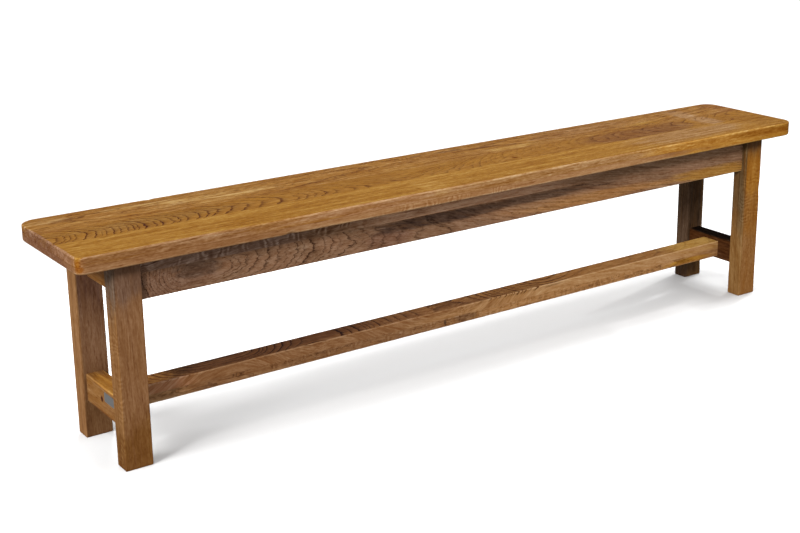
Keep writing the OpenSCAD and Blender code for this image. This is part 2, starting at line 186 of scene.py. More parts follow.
def oak(name, light, brown, ring_tint, heart, grain="XYZ", ring=2.6, bend=6.0, jag=2.0, seed=0.0, rings=0.5,
        pores=0.45, rays=0.0, streaks=0.8, flecks=0.8, blotches=0.3, speckle=0.25, browner=0.0, bold=(),
        stains_and_painted_light=(), knots=(), curl=(), glue=(), arris_wear_and_highlight=0.2, rough=0.55, own_place=False):
    """Oiled oak: matt and warm, with a dark line of pores at each ring, lighter and browner by patches.

    heart holds points of the log's heart in m: along the grain, and its two offsets. ring, bend and jag are
    in mm; rings to speckle say how strongly each part of the grain shows. bold holds places where the rings
    are stronger or fainter. The list after it holds places of another colour, some the wood's own and some
    painted light or shade: centre, reach, colour and strength. knots holds places that the rings flow round:
    centre, size in m and lift in mm. curl holds places with ripples across the grain: spacing and lift in mm,
    tone, centre and reach. glue holds the axis and place of a glue line. The arris weight lightens the arrises,
    partly as wear and partly as a painted highlight.
    """
    material, put = new_material(name)
    tree = material.node_tree
    shader = tree.nodes["Principled BSDF"]
    place = put("ShaderNodeTexCoord", out="Object")
    if own_place:
        place = put("ShaderNodeAttribute", out="Vector", attribute_name="place_in_piece")
    apart = put("ShaderNodeSeparateXYZ", (place,)).node.outputs
    along = apart[grain[0]]
    bar = put("ShaderNodeCombineXYZ", (along, apart[grain[1]], apart[grain[2]]))
    thrice = put("ShaderNodeCombineXYZ", (along, along, along))
    path = put("ShaderNodeVectorCurve", (1.0, thrice))
    for channel in (1, 2):
        points = path.node.mapping.curves[channel].points
        while len(points) < len(heart):
            points.new(0, 0)
        for point, spot in zip(points, sorted(heart)):
            point.location = (spot[0], spot[channel])
            point.handle_type = "AUTO_CLAMPED"
    path.node.mapping.update()
    off = put("ShaderNodeVectorMath", (path, (0, 1, 1)), operation="MULTIPLY")
    about = put("ShaderNodeVectorMath", (bar, off), operation="SUBTRACT")
    in_mm = put("ShaderNodeVectorMath", {0: about, "Scale": 1000.0}, operation="SCALE")

    swell, core, wave = 0.0, 0.0, 0.0
    for centre, size, lift in knots:
        mask = {"Place": place, "Centre": centre, "Reach": (size * 2.2,) * 3, "Ragged": 0.3, "Full": 0.0}
        mask = put("ShaderNodeGroup", mask, node_tree=ragged_patch)
        swell = put("ShaderNodeMath", (mask, lift, swell), operation="MULTIPLY_ADD")
        mask = {"Place": place, "Centre": centre, "Reach": (size * 0.8,) * 3, "Ragged": 0.6, "Full": 0.2}
        mask = put("ShaderNodeGroup", mask, node_tree=ragged_patch)
        core = put("ShaderNodeMath", (core, mask), operation="MAXIMUM")
    for spacing, lift, tone, centre, reach in curl:
        sway = put("ShaderNodeTexNoise", {"Vector": in_mm, "Scale": 0.03, "Detail": 2.0})
        turns = put("ShaderNodeMath", (along, 2000 * math.pi / spacing), operation="MULTIPLY")
        turns = put("ShaderNodeMath", (sway, 22.0, turns), operation="MULTIPLY_ADD")
        ripple = put("ShaderNodeMath", (turns,), operation="SINE")
        swing = put("ShaderNodeTexNoise", {"Vector": in_mm, "Scale": 0.045, "Detail": 1.0})
        swing = put("ShaderNodeMapRange", {"Value": swing, "From Min": 0.4, "From Max": 0.62})
        ripple = put("ShaderNodeMath", (ripple, swing), operation="MULTIPLY")
        mask = {"Place": place, "Centre": centre, "Reach": reach, "Ragged": 0.6, "Full": 0.4}
        mask = put("ShaderNodeGroup", mask, node_tree=ragged_patch)
        ripple = put("ShaderNodeMath", (ripple, mask), operation="MULTIPLY")
        swell = put("ShaderNodeMath", (ripple, lift, swell), operation="MULTIPLY_ADD")
        wave = put("ShaderNodeMath", (ripple, tone, wave), operation="MULTIPLY_ADD")
    grown = put("ShaderNodeGroup", {
        "Place": in_mm, "Seed": (seed * 171.0, seed * 37.0, seed * 53.0), "Ring width": ring, "Bend": bend,
        "Jag": jag, "Swell": swell}, node_tree=oak_grain).node.outputs

    hue = {"Value": grown["Blotches"], "From Min": -0.15 - browner, "From Max": 0.15 - browner}
    hue = put("ShaderNodeMapRange", hue)
    colour = put("ShaderNodeMix", {0: hue, 6: linear(light), 7: linear(brown)}, out=2, data_type="RGBA")
    # Patches of another colour: some the wood's own, some painted light or shade.
    for centre, reach, tint, strength in stains_and_painted_light:
        mask = {"Place": place, "Centre": centre, "Reach": reach, "Ragged": 0.7, "Full": 0.35}
        mask = put("ShaderNodeGroup", mask, node_tree=ragged_patch)
        torn = put("ShaderNodeMath", (grown["Streaks"], 2.5, mask), operation="MULTIPLY_ADD")
        mask = put("ShaderNodeMath", (mask, torn), operation="MULTIPLY", use_clamp=True)
        mask = put("ShaderNodeMath", (mask, strength), operation="MULTIPLY")
        colour = put("ShaderNodeMix", {0: mask, 6: colour, 7: linear(tint)}, out=2, data_type="RGBA")
    strong = rings
    for centre, reach, more in bold:
        mask = {"Place": place, "Centre": centre, "Reach": reach, "Ragged": 0.6, "Full": 0.4}
        mask = put("ShaderNodeGroup", mask, node_tree=ragged_patch)
        strong = put("ShaderNodeMath", (mask, more, strong), operation="MULTIPLY_ADD")
    strong = put("ShaderNodeMath", (grown["Rings"], strong), operation="MULTIPLY")
    colour = put("ShaderNodeMix", {0: strong, 6: colour, 7: linear(ring_tint)}, out=2, data_type="RGBA",
                 blend_type="MULTIPLY")

    tone = put("ShaderNodeMath", (grown["Streaks"], streaks, 1.0), operation="MULTIPLY_ADD")
    # The arrises are painted paler: partly wear, partly a painted highlight.
    arris = put("ShaderNodeAttribute", out="Fac", attribute_name="arris")
    for source, much in ((grown["Blotches"], blotches), (grown["Flecks"], flecks), (grown["Speckle"], speckle),
                         (grown["Pores"], -pores), (grown["Rays"], rays), (wave, 1.0), (core, -0.65),
                         (arris, arris_wear_and_highlight)):
        tone = put("ShaderNodeMath", (source, much, tone), operation="MULTIPLY_ADD")
    for axis, at in glue:
        near = put("ShaderNodeMath", (apart[axis], at), operation="SUBTRACT")
        near = put("ShaderNodeMath", (near,), operation="ABSOLUTE")
        line = {"Value": near, "From Min": 0.0004, "From Max": 0.0012, "To Min": 0.3, "To Max": 0.0}
        line = put("ShaderNodeMapRange", line)
        tone = put("ShaderNodeMath", (tone, line), operation="SUBTRACT")
    # Darker wood is deeper in colour, as if the light had gone through more of it: its colour is raised to a power.
    depth = put("ShaderNodeMath", (tone, -0.8, 1.8), operation="MULTIPLY_ADD")
    depth = put("ShaderNodeClamp", {"Value": depth, "Min": 0.5, "Max": 2.4})
    colour = put("ShaderNodeGamma", {"Color": colour, "Gamma": depth})
    height = put("ShaderNodeMath", (grown["Rings"], -0.4), operation="MULTIPLY")
    height = put("ShaderNodeMath", (grown["Pores"], -1.0, height), operation="MULTIPLY_ADD")
    tree.links.new(put("ShaderNodeBump", {"Height": height, "Distance": 0.0003, "Strength": 0.5}),
                   shader.inputs["Normal"])
    tree.links.new(colour, shader.inputs["Base Color"])
    tree.links.new(put("ShaderNodeMath", (grown["Pores"], 0.15, rough), operation="MULTIPLY_ADD"),
                   shader.inputs["Roughness"])
    shader.inputs["IOR"].default_value = 1.5
    shader.inputs["Specular IOR Level"].default_value = 0.012
    return material


def cut_across(bm, axis, places):
    """Cuts a mesh across at each place, the middle one first, so that every cut only sees its own part."""
    jobs = [(list(bm.faces), sorted(places))]
    while jobs:
        faces, left = jobs.pop()
        if not left or not faces:
            continue
        middle = len(left) // 2
        point, normal = Vector((0, 0, 0)), Vector((0, 0, 0))
        point[axis], normal[axis] = left[middle], 1.0
        geometry = {part for face in faces for part in (face, *face.edges, *face.verts)}
        made = bmesh.ops.bisect_plane(bm, geom=list(geometry), dist=1e-7, plane_co=point, plane_no=normal)["geom"]
        low, high = [], []
        for face in (part for part in made if isinstance(part, bmesh.types.BMFace)):
            (low if face.calc_center_median()[axis] < left[middle] else high).append(face)
        jobs += [(low, left[:middle]), (high, left[middle + 1:])]


def worn_copy(node, axis, step, corner_of, radius, wear, dips=(), foot=None):
    """Copy of a solid whose arrises swell and shrink along their length, as hand work and use leave them.

    corner_of gives the point of the sharp edge that the arris replaces, the reach from it and a name for it.
    A dip is a place, a depth and a length: there the arris is knocked back further. A foot has its lowest
    edge broken: foot holds the middle and the half of its section, and how much comes off.
    """
    low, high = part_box(node)
    bm = bmesh.new()
    bm.from_mesh(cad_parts[node].data)
    bmesh.ops.remove_doubles(bm, verts=bm.verts, dist=1e-6)
    bmesh.ops.dissolve_limit(bm, angle_limit=0.0005, verts=bm.verts, edges=bm.edges)
    places = list(np.arange(low[axis] + step / 2, high[axis], step))
    for spot, depth, length in dips:
        if low[axis] < spot[axis] < high[axis]:
            places += list(np.arange(spot[axis] - 2 * length, spot[axis] + 2.01 * length, length / 3))
    if foot:
        places.append(low[axis] + foot[2] * 1.5)
    cut_across(bm, axis, [p for p in places if low[axis] + 1e-4 < p < high[axis] - 1e-4])
    arris_of = {}
    for vert in bm.verts:
        corner, reach, name = corner_of(vert.co)
        if reach <= radius * 1.001:
            arris_of[vert] = name
            # Swells about 30 and 10 mm long.
            grow = 1 + wear * (0.4 + noise.noise(corner * 31.0) + 0.6 * noise.noise(corner * 97.0))
            for spot, depth, length in dips:
                grow += depth / radius * math.exp(-((corner - spot).length / length) ** 2)
            vert.co = corner + (vert.co - corner) * max(grow, 0.6)
    if foot:
        middle, half, off = foot
        for vert in bm.verts:
            if vert.co[axis] < low[axis] + 1e-5:
                for i, at, reach in zip([i for i in range(3) if i != axis], middle, half):
                    if abs(vert.co[i] - at) > reach * 0.9:
                        vert.co[i] -= math.copysign(off, vert.co[i] - at)
    layer = bm.faces.layers.float.new("arris")
    for face in bm.faces:
        names = {arris_of.get(vert) for vert in face.verts}
        face[layer] = 1.0 if len(names) == 1 and None not in names else 0.0
        face.smooth = True
    for line in bm.edges:
        if len(line.link_faces) == 2 and line.calc_face_angle(0) > 0.5:
            line.smooth = False
    mesh = bpy.data.meshes.new(node + "_worn")
    bm.to_mesh(mesh)
    bm.free()
    piece = bpy.data.objects.new(node + "_worn", mesh)
    bpy.context.scene.collection.objects.link(piece)
    piece.modifiers.new("even_shading", "WEIGHTED_NORMAL").keep_sharp = True
    return piece


def finish_piece(piece, material, slot, *nodes):
    """Gives a piece its finish and puts it in the place of its solids."""
    piece.data.materials.clear()
    piece.data.materials.append(material)
    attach(piece, "root")
    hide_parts(*nodes)


def seat_corner_at(level):
    """The seat's outline at a level, as the sharp edge of its arris. The front left corner is the tight one."""
    def corner_of(co):
        round_by = TIGHT_CORNER if co.x < 0 and co.y < 0 else SEAT_CORNER
        inner = [half - round_by for half in SEAT_HALF]
        over = Vector((max(abs(co.x) - inner[0], 0.0), max(abs(co.y) - inner[1], 0.0), 0.0))
        if over.length < 1e-6:
            return Vector((co.x, co.y, level)), 1.0, None
        if over.x > 0 and over.y > 0:
            rim = over.normalized() * round_by
        else:
            rim = Vector((round_by if over.x > 0 else 0.0, round_by if over.y > 0 else 0.0, 0.0))
        corner = Vector((math.copysign(inner[0] + rim.x, co.x) if over.x > 0 else co.x,
                         math.copysign(inner[1] + rim.y, co.y) if over.y > 0 else co.y, level))
        plan = Vector((co.x - corner.x, co.y - corner.y)).length
        return corner, max(plan, abs(co.z - level)), level
    return corner_of


seat_dips = ((Vector((-0.681, 0.15, 0.45)), 0.0035, 0.007), (Vector((-0.31, -0.15, 0.45)), 0.0008, 0.012))
seat_end = [((-0.955, 0.0, 0.441), (0.006, 0.2, 0.04), "#724E38", 0.95),
            ((-0.955, -0.09, 0.441), (0.006, 0.09, 0.05), "#8A6448", 0.8),
            ((-0.951, -0.146, 0.436), (0.013, 0.013, 0.016), "#7E4A14", 0.9)]
seat_front = [((x, -0.15, 0.441), (along, 0.006, 0.05), tint, 1.0) for x, along, tint in (
    (-0.8, 0.5, "#815A38"), (-0.28, 0.45, "#956D4A"), (0.16, 0.5, "#946D44"), (0.62, 0.28, "#A07030"),
    (0.9, 0.22, "#85541A"))]
seat_looks = {
    "seat_front_board": oak(
        "straight_grained_oak_seat_front", "#986D2C", "#8E6120", "#C9A27A", [(-1, 0.02, 0.3), (1, 0.03, 0.33)],
        ring=2.2, seed=1, rings=0.5, pores=0.6, streaks=1.4, flecks=1.1, speckle=0.5,
        stains_and_painted_light=seat_end + seat_front + [
            ((0.9, -0.09, 0.45), (0.1, 0.12, 0.03), "#855A1E", 0.7),
            ((-0.155, -0.1, 0.45), (0.05, 0.08, 0.03), "#A98140", 0.5),
            ((0.0, -0.055, 0.45), (1.1, 0.02, 0.03), "#A67C38", 0.5),
            # Pale patch near the right end: part of a painted reflection across all three boards.
            ((0.775, -0.07, 0.45), (0.035, 0.09, 0.03), "#A58355", 0.5),
            ((0.64, -0.09, 0.45), (0.28, 0.08, 0.03), "#93704A", 0.7)]),
    "seat_middle_board": oak(
        "flat_sawn_oak_seat_middle", "#966927", "#895C23", "#85583A",
        [(-1, -0.012, 0.276), (-0.9, -0.012, 0.264), (-0.72, -0.012, 0.232), (-0.4, -0.012, 0.202),
         (-0.28, -0.035, 0.191), (-0.16, -0.06, 0.187), (-0.04, -0.06, 0.193), (0.06, -0.04, 0.201),
         (0.18, -0.01, 0.214), (0.32, 0.0, 0.232), (0.5, 0.0, 0.245), (1, 0.02, 0.28)],
        ring=2.5, bend=3.0, jag=1.2, seed=2, rings=0.7, pores=0.6, browner=0.04, flecks=1.0,
        bold=[
            ((-0.6, -0.03, 0.45), (0.45, 0.02, 0.02), 0.4),
            ((-0.66, 0.0, 0.45), (0.45, 0.09, 0.02), 0.4),
            ((0.25, 0.0, 0.45), (0.25, 0.06, 0.02), -0.35)],
        stains_and_painted_light=seat_end + [
            ((0.5, -0.005, 0.45), (0.22, 0.08, 0.05), "#774D28", 0.85),
            ((0.64, -0.005, 0.45), (0.14, 0.08, 0.05), "#744B26", 0.85),
            ((0.7, -0.01, 0.45), (0.04, 0.03, 0.05), "#90693F", 0.8),
            ((-0.75, 0.0, 0.45), (0.28, 0.05, 0.05), "#845E2C", 0.6),
            # Pale patch near the right end: part of a painted reflection across all three boards.
            ((0.785, 0.0, 0.45), (0.045, 0.12, 0.05), "#A58460", 0.5)],
        knots=[((0.145, -0.022, 0.45), 0.012, 9.0), ((0.85, -0.035, 0.45), 0.01, 7.0)]),
    "seat_back_board": oak(
        "flat_sawn_oak_seat_back", "#986C31", "#855825", "#8A5F3E",
        [(-1, 0.1, 0.35), (-0.5, 0.085, 0.36), (0, 0.11, 0.35), (0.5, 0.09, 0.36), (1, 0.12, 0.35)],
        ring=2.8, bend=9.0, jag=3.0, seed=3, rings=0.9, pores=0.6, streaks=1.4, flecks=1.5, blotches=1.1,
        curl=[(12.0, 0.6, 0.1, (-0.15, 0.12, 0.45), (0.25, 0.05, 0.03))],
        stains_and_painted_light=seat_end + [
            ((-0.6, 0.1, 0.45), (0.12, 0.016, 0.03), "#B08C55", 0.8),
            ((-0.49, 0.078, 0.45), (0.1, 0.014, 0.03), "#B28E5A", 0.8),
            ((-0.72, 0.118, 0.45), (0.12, 0.012, 0.03), "#A9854E", 0.7),
            ((-0.55, 0.09, 0.45), (0.2, 0.05, 0.03), "#A27A40", 0.6),
            ((-0.91, 0.115, 0.45), (0.06, 0.03, 0.03), "#A5804C", 0.5),
            ((0.21, 0.062, 0.45), (0.12, 0.022, 0.03), "#A98040", 0.7),
            ((0.64, 0.062, 0.45), (0.08, 0.022, 0.03), "#9C712A", 0.6),
            ((0.06, 0.118, 0.45), (0.07, 0.01, 0.03), "#5A371C", 0.8),
            ((-0.03, 0.121, 0.45), (0.03, 0.006, 0.03), "#5A371C", 0.7),
            # Pale patch near the right end: part of a painted reflection across all three boards.
            ((0.785, 0.09, 0.45), (0.045, 0.1, 0.05), "#A58460", 0.5),
            ((0.93, 0.09, 0.45), (0.06, 0.1, 0.05), "#85562A", 0.6),
            ((0.45, 0.1, 0.45), (0.25, 0.06, 0.05), "#88613C", 0.5)]),
}
for board, look in seat_looks.items():
    finish_piece(worn_copy(board, 0, LONG_STEP, seat_corner_at(SEAT_TOP), SEAT_ARRIS, SEAT_WEAR, seat_dips),
                 look, "oak_seat", board)


# ---- Seat, lower layer ------------------------------------------------------------------
# Three plainer boards glued under the upper ones, with the same seams. Their outer edge is
# rounded over too, and the screws of the seat buttons go into them from below.
UNDER_LEVEL, SEAT_GLUE_LEVEL = 0.417, 0.432
UNDER_ARRIS, UNDER_WEAR = 0.004, 0.15
under_dips = ((Vector((-0.517, -0.15, 0.417)), 0.005, 0.012),)
under_look = oak(
    "quarter_sawn_oak_under_boards", "#8F6843", "#855E3C", "#C09A7E", [(-1, 0.25, 0.52), (1, 0.27, 0.5)],
    ring=2.4, seed=4, rings=0.35, rays=0.1, curl=[(11.0, 0.5, 0.16, (-0.13, -0.15, 0.425), (0.24, 0.02, 0.03))],
    stains_and_painted_light=[
        ((-0.8, -0.15, 0.425), (0.5, 0.02, 0.05), "#835C3A", 1.0),
        ((0.05, -0.15, 0.425), (0.8, 0.02, 0.05), "#976F49", 0.9),
        ((0.7, -0.15, 0.425), (0.28, 0.02, 0.05), "#A27331", 1.0),
        ((0.92, -0.15, 0.425), (0.2, 0.02, 0.05), "#90601F", 1.0),
        ((-0.955, 0.0, 0.425), (0.006, 0.2, 0.04), "#704C36", 0.95),
        ((-0.951, -0.146, 0.43), (0.013, 0.013, 0.016), "#7E4A14", 0.9)],
    glue=[("Z", SEAT_GLUE_LEVEL)])
for board in ("under_front_board", "under_middle_board", "under_back_board"):
    finish_piece(worn_copy(board, 0, LONG_STEP, seat_corner_at(UNDER_LEVEL), UNDER_ARRIS, UNDER_WEAR, under_dips),
                 under_look, "oak_under_boards", board)


# ---- Legs -------------------------------------------------------------------------------
# Square legs, each glued up from two staves along its length, planed, with the arrises just
# broken and the feet eased. Mortises for the rails and the stretcher cross the glue line.
LEG_MIDDLE = (0.848, 0.0955)
LEG_HALF = (0.0285, 0.019)
LEG_ARRIS, LEG_WEAR = 0.0015, 0.12
LEG_FOOT = 0.0012
SHORT_STEP = 0.012  # between the cuts across a short piece
LEG_GLUE = 0.0965
leg_dips = ((Vector((-0.8765, -0.1145, 0.145)), 0.002, 0.008), (Vector((0.8765, -0.1145, 0.278)), 0.0035, 0.018))
leg_tones = {"front_left": ("#7B5738", "#745033"), "back_left": ("#7D5C3E", "#705038"),
             "front_right": ("#835623", "#785028"), "back_right": ("#765430", "#5E4226")}
leg_hearts = {"front_right": [(-1, 0.848, -0.09), (0, 0.848, -0.0745), (0.2, 0.846, -0.0345), (0.45, 0.846, -0.02)]}
leg_curls = {"front_right": [(10.0, 0.9, 0.15, (0.848, -0.1145, 0.25), (0.06, 0.02, 0.13))],
             "front_left": [(11.0, 0.5, 0.12, (-0.8765, -0.0955, 0.2), (0.01, 0.06, 0.3))]}
leg_stains_and_shade = {
    "back_right": [
        # Both faces darkened: partly dark wood, partly painted shade under the bench.
        ((0.84, 0.0765, 0.2), (0.05, 0.012, 0.3), "#38291D", 1.0),
        ((0.8195, 0.0955, 0.2), (0.012, 0.1, 0.5), "#4A382A", 1.0)],
    "front_left": [
        ((-0.8765, -0.0955, 0.25), (0.004, 0.2, 0.45), "#805A34", 0.9),
        ((-0.848, -0.0955, 0.0), (0.12, 0.12, 0.16), "#64401C", 0.9),
        # The top of the front face and of the outer face below the seat: painted shade.
        ((-0.848, -0.1145, 0.42), (0.12, 0.03, 0.13), "#5E4638", 0.8),
        ((-0.8765, -0.0955, 0.42), (0.01, 0.05, 0.17), "#625042", 0.95)],
    "back_left": [
        ((-0.848, 0.0765, 0.42), (0.12, 0.02, 0.24), "#54392C", 0.9),
        ((-0.848, 0.0765, 0.0), (0.1, 0.01, 0.25), "#5E4026", 0.9),
        ((-0.8765, 0.0955, 0.25), (0.006, 0.2, 0.6), "#855F3B", 1.0)],
    "front_right": [
        ((0.848, -0.1145, 0.33), (0.05, 0.012, 0.12), "#8D5C1E", 0.8),
        # The top just below the seat: painted shadow of the seat.
        ((0.848, -0.1145, 0.42), (0.12, 0.1, 0.08), "#503824", 0.95),
        ((0.848, -0.1145, 0.0), (0.12, 0.02, 0.25), "#7B5530", 0.8),
        ((0.8195, -0.0955, 0.0), (0.01, 0.1, 0.4), "#7A5831", 0.95),
        ((0.8195, -0.0955, 0.35), (0.01, 0.1, 0.28), "#56422A", 0.95)]}


def bar_corner(axis, middle, half):
    """The four sharp edges of a bar along an axis, about the middle of its section."""
    first, second = [i for i in range(3) if i != axis]

    def corner_of(co):
        signs = (1 if co[first] > middle[0] else -1, 1 if co[second] > middle[1] else -1)
        corner = co.copy()
        corner[first] = middle[0] + signs[0] * half[0]
        corner[second] = middle[1] + signs[1] * half[1]
        return corner, max(abs(co[first] - corner[first]), abs(co[second] - corner[second])), signs
    return corner_of


for corner_name, tones in leg_tones.items():
    side, end = corner_name.split("_")
    side_sign, end_sign = (-1 if side == "front" else 1), (-1 if end == "left" else 1)
    middle = (end_sign * LEG_MIDDLE[0], side_sign * LEG_MIDDLE[1])
    for number, stave in enumerate(("outer", "inner")):
        node = f"{corner_name}_leg_{stave}_stave"
        heart = leg_hearts.get(corner_name, [(-1, end_sign * 0.8, side_sign * 0.3),
                                             (1, end_sign * 0.84, side_sign * 0.28)])
        look = oak(f"oak_{node}", tones[number], tones[1], "#A98465", heart, grain="ZXY", ring=2.3, bend=3.0,
                   jag=1.0, seed=5 + side_sign * 2 + end_sign + number * 4, rings=0.18, pores=0.3, streaks=0.6,
                   flecks=0.6, arris_wear_and_highlight=0.06, curl=leg_curls.get(corner_name, ()),
                   stains_and_painted_light=leg_stains_and_shade.get(corner_name, ()), glue=[("Y", side_sign * LEG_GLUE)])
        finish_piece(worn_copy(node, 2, SHORT_STEP, bar_corner(2, middle, LEG_HALF), LEG_ARRIS, LEG_WEAR, leg_dips,
                               (middle, LEG_HALF, LEG_FOOT)), look, "oak_legs", node)


# ---- Long rails -------------------------------------------------------------------------
# Two rails on edge under the seat, each glued up from a narrow upper stave and a wide lower
# one with a wild cathedral figure. Their tenons are mitred inside the legs.
RAIL_ARRIS, RAIL_WEAR = 0.0015, 0.25
LONG_RAIL_MIDDLE, LONG_RAIL_HALF = (0.092, 0.37425), (0.01, 0.04275)
LONG_RAIL_OUTSIDE = 0.102
for side, side_sign in (("front", -1), ("back", 1)):
    y = side_sign * LONG_RAIL_OUTSIDE
    section = (side_sign * LONG_RAIL_MIDDLE[0], LONG_RAIL_MIDDLE[1])
    upper_look = oak(
        f"flat_sawn_oak_{side}_rail_upper", "#7A5B42", "#6C4F3A", "#8A6A58",
        [(-1, side_sign * 0.06, 0.2), (-0.3, side_sign * 0.06, 0.26), (0.0, side_sign * 0.08, 0.26),
         (0.82, side_sign * 0.08, 0.16), (1, side_sign * 0.08, 0.14)], ring=3.0, seed=20 + side_sign, rings=0.8,
        curl=[(16.0, 1.2, 0.3, (-0.56, y, 0.4), (0.4, 0.05, 0.06))],
        stains_and_painted_light=[
            ((-0.7, y, 0.4), (0.4, 0.05, 0.05), "#785F50", 0.9),
            # The two patches below are lighter: painted light that offsets the seat's shadow along the middle and
            # right of the upper stave.
            ((0.5, y, 0.4), (0.5, 0.05, 0.05), "#8B6E55", 0.7),
            ((-0.03, y, 0.4), (0.48, 0.05, 0.05), "#B68D6E", 0.95)])
    lower_look = oak(
        f"flat_sawn_oak_{side}_rail_lower", "#83624A", "#74563F", "#5C4436",
        [(x, side_sign * (LONG_RAIL_OUTSIDE - inside), z) for x, inside, z in (
            (-1.0, 0.11, 0.371), (-0.82, 0.07, 0.371), (-0.735, 0.015, 0.371), (-0.7, 0.004, 0.371),
            (-0.665, 0.013, 0.37), (-0.22, 0.11, 0.355), (0.05, 0.125, 0.29), (0.82, 0.13, 0.19),
            (1.0, 0.13, 0.17))],
        ring=5.0, seed=22 + side_sign, rings=0.9, bend=11.0, jag=5.0,
        bold=[((-0.7, y, 0.371), (0.1, 0.03, 0.05), -0.5), ((0.4, y, 0.36), (0.8, 0.03, 0.1), -0.35)],
        stains_and_painted_light=[
            ((-0.8, y, 0.355), (0.22, 0.03, 0.05), "#715340", 0.9),
            ((-0.26, y, 0.35), (0.1, 0.03, 0.03), "#6B4B39", 0.8),
            ((0.2, y, 0.35), (0.3, 0.03, 0.03), "#8C6646", 0.8),
            ((-0.13, y, 0.371), (0.3, 0.03, 0.022), "#382922", 0.95),
            ((0.12, y, 0.373), (0.42, 0.03, 0.015), "#4A372B", 0.85),
            ((0.72, y, 0.345), (0.25, 0.03, 0.022), "#93682C", 0.9),
            ((0.36, y, 0.345), (0.36, 0.03, 0.02), "#94693F", 0.9),
            ((-0.7, y, 0.371), (0.08, 0.03, 0.028), "#523C2E", 0.95)])
    for stave, look in (("upper", upper_look), ("lower", lower_look)):
        node = f"{side}_rail_{stave}_stave"
        finish_piece(worn_copy(node, 0, LONG_STEP, bar_corner(0, section, LONG_RAIL_HALF), RAIL_ARRIS, RAIL_WEAR),
                     look, "oak_rails", node)


# ---- End rails --------------------------------------------------------------------------
# A short rail between the two legs of each end, of straight oak, tenoned and glued like the
# long ones. The seat buttons hook into a slot in its inner face.
END_RAIL_MIDDLE, END_RAIL_HALF = (0.839, 0.377), (0.01, 0.04)
for end, end_sign in (("left", -1), ("right", 1)):
    node = f"{end}_end_rail"
    section = (end_sign * END_RAIL_MIDDLE[0], END_RAIL_MIDDLE[1])
    look = oak(f"straight_grained_oak_{node}", "#865E34", "#775338", "#A98465",
               [(-1, end_sign * 0.6, 0.36), (1, end_sign * 0.62, 0.36)], grain="YXZ", ring=2.4, seed=30 + end_sign)
    finish_piece(worn_copy(node, 1, SHORT_STEP, bar_corner(1, section, END_RAIL_HALF), RAIL_ARRIS, RAIL_WEAR),
                 look, "oak_rails", node)


# ---- End stretchers ---------------------------------------------------------------------
# A stout stretcher near the floor between the two legs of each end, blind tenoned. The left
# one is golden; the right one is dark heartwood, left quite matt, and its top is painted almost
# black: partly the wood, partly painted shade under the seat.
STRETCHER_ARRIS, STRETCHER_WEAR = 0.002, 0.25
END_STRETCHER_MIDDLE, END_STRETCHER_HALF = (0.84875, 0.10725), (0.01875, 0.02925)
stretcher_tones = {"left": ("#865D30", "#7E5834"), "right": ("#4E2F17", "#3C2212")}
stretcher_rough = {"left": 0.55, "right": 1.0}
stretcher_stains_and_shade = {
    "left": [
        ((-0.849, -0.04, 0.1365), (0.06, 0.17, 0.006), "#A6722F", 0.95),
        # A small hole in the outer face, drawn as a dark dot: its darkness is painted shade.
        ((-0.8675, 0.0025, 0.1087), (0.01, 0.009, 0.009), "#3A160C", 1.0),
        ((-0.8675, 0.0, 0.079), (0.005, 0.12, 0.004), "#5A3216", 0.9)],
    # Top almost black: partly dark heartwood, partly painted shade under the seat.
    "right": [((0.849, 0.0, 0.1365), (0.06, 0.25, 0.006), "#0E0704", 1.0)]}
for end, end_sign in (("left", -1), ("right", 1)):
    node = f"{end}_end_stretcher"
    section = (end_sign * END_STRETCHER_MIDDLE[0], END_STRETCHER_MIDDLE[1])
    look = oak(f"oak_{node}", *stretcher_tones[end], "#A98465",
               [(-1, end_sign * 0.6, 0.3), (1, end_sign * 0.62, 0.3)], grain="YXZ", ring=2.4, seed=33 + end_sign,
               stains_and_painted_light=stretcher_stains_and_shade[end], rough=stretcher_rough[end])
    finish_piece(worn_copy(node, 1, SHORT_STEP, bar_corner(1, section, END_STRETCHER_HALF), STRETCHER_ARRIS,
                           STRETCHER_WEAR), look, "oak_stretchers", node)


